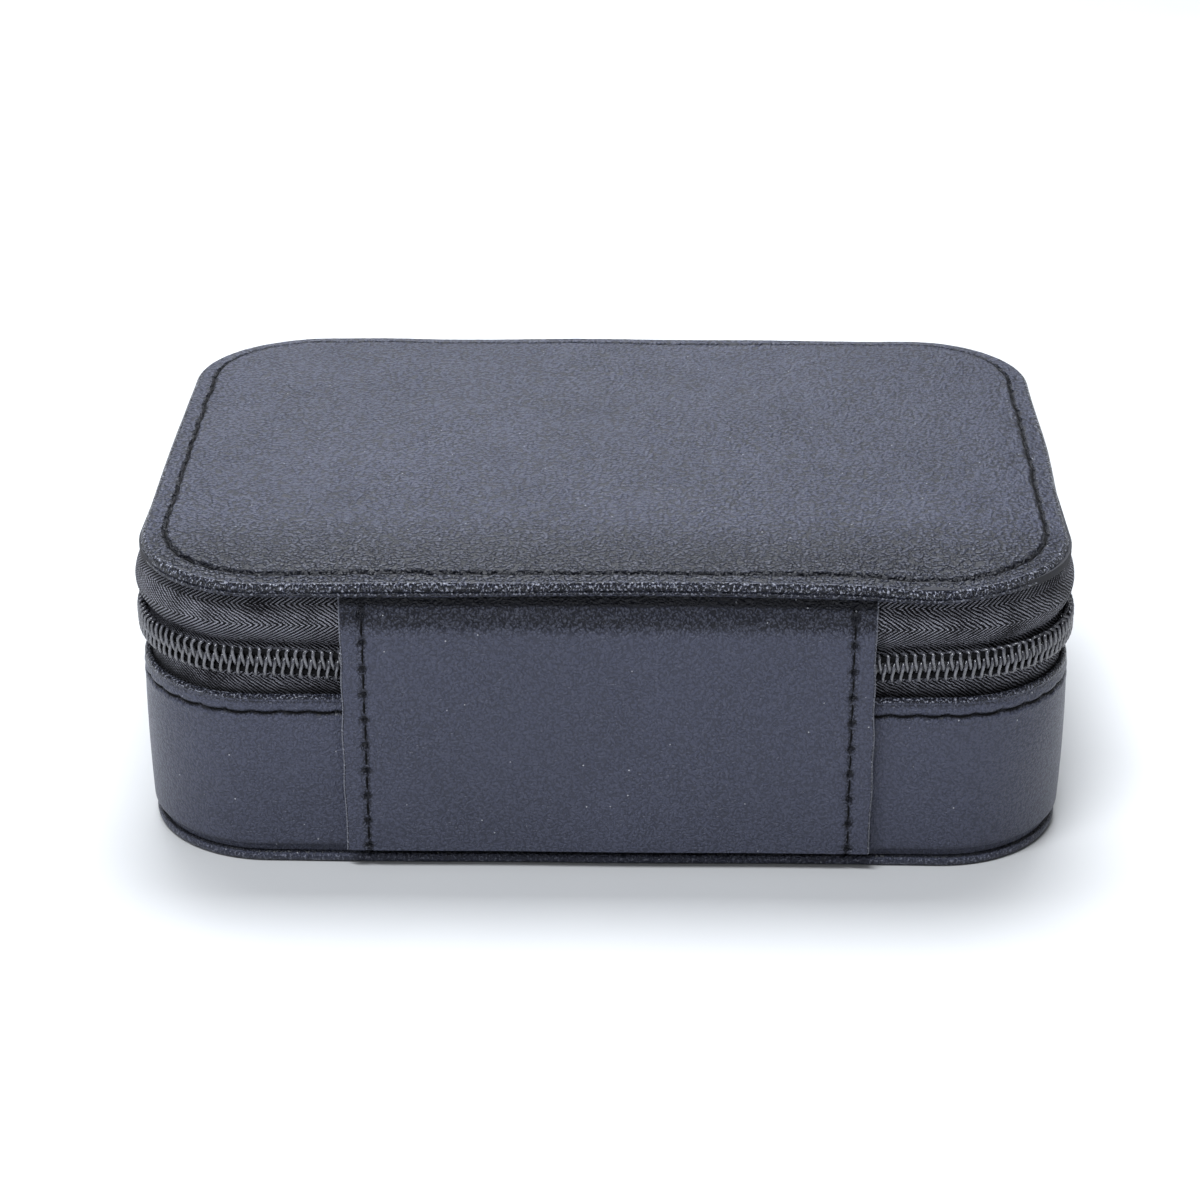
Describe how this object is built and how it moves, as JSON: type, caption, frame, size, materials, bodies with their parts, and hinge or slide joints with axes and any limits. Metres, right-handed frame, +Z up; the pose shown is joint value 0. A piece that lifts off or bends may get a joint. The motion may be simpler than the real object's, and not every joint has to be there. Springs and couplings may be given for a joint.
{
  "type": "leather jewellery case",
  "caption": "Zip-round leather jewellery case with a flat padded lid hinged on a leather spine, a divided velvet tray and ring rolls.",
  "frame": {"origin": "centre of the flat underside of the base, on the surface the case stands on", "axes": "+X along the spine to the right seen from the spine side, +Y from the spine towards the zip sliders, +Z up"},
  "size_m": [0.1624, 0.1227, 0.0546],
  "materials": {
    "leather": "dark navy grained leather, soft sheen",
    "frame_leather": "dark navy grained leather, fine",
    "thread": "black waxed thread",
    "board": "grey board",
    "foam": "thin foam sheet",
    "zip_tape": "charcoal herringbone tape",
    "zip_coil": "black nylon coil",
    "velvet": "charcoal velvet",
    "ring_roll": "charcoal velvet over foam",
    "mirror": "silvered glass",
    "slider_metal": "dark gunmetal plating"
  },
  "bodies": {
    "base": {"base_bottom_cover": "leather", "base_floor_board": "board", "base_wall_board": "board", "base_wall_foam": "foam", "base_side_cover": "leather", "base_rim_stitching": "thread", "base_zip_tape": "zip_tape", "base_zip_coil": "zip_coil", "base_wall_lining": "velvet", "base_floor_lining": "velvet", "spine_backing": "board", "spine_panel_lower": "leather", "spine_stitching": "thread", "spine_lining_lower": "velvet", "partition": "velvet", "long_divider": "velvet", "short_divider": "velvet", "ring_roll_bed": "velvet", "ring_roll_1": "ring_roll", "ring_roll_2": "ring_roll", "ring_roll_3": "ring_roll", "ring_roll_4": "ring_roll", "ring_roll_5": "ring_roll", "ring_roll_6": "ring_roll", "ring_roll_7": "ring_roll", "ring_roll_8": "ring_roll"},
    "lid": {"lid_top_cover": "leather", "lid_stitching": "thread", "lid_foam": "foam", "lid_board": "board", "lid_zip_tape": "zip_tape", "lid_zip_coil": "zip_coil", "lid_inner_board": "board", "lid_inner_lining": "velvet", "mirror_frame": "frame_leather", "mirror_glass": "mirror", "spine_panel_upper": "leather", "spine_lining_upper": "velvet"},
    "slider_left": {"slider_left": "slider_metal"},
    "slider_right": {"slider_right": "slider_metal"},
    "pull_left": {"pull_left": "slider_metal"},
    "pull_right": {"pull_right": "slider_metal"}
  },
  "joints": [
    {"name": "lid_hinge", "type": "hinge", "parent": "base", "child": "lid", "pos_m": [0, -0.05945, 0.0389], "axis": [1, 0, 0], "range_deg": [0, 110]},
    {"name": "slider_left_slide", "type": "slide", "parent": "base", "child": "slider_left", "axis": [-1, 0, 0], "range_m": [0, 0.045]},
    {"name": "slider_right_slide", "type": "slide", "parent": "base", "child": "slider_right", "axis": [1, 0, 0], "range_m": [0, 0.045]},
    {"name": "pull_left_swing", "type": "hinge", "parent": "slider_left", "child": "pull_left", "pos_m": [-0.0051, 0.0616, 0.0389], "axis": [1, 0, 0], "range_deg": [0, 150]},
    {"name": "pull_right_swing", "type": "hinge", "parent": "slider_right", "child": "pull_right", "pos_m": [0.0051, 0.0616, 0.0389], "axis": [1, 0, 0], "range_deg": [0, 150]}
  ]
}
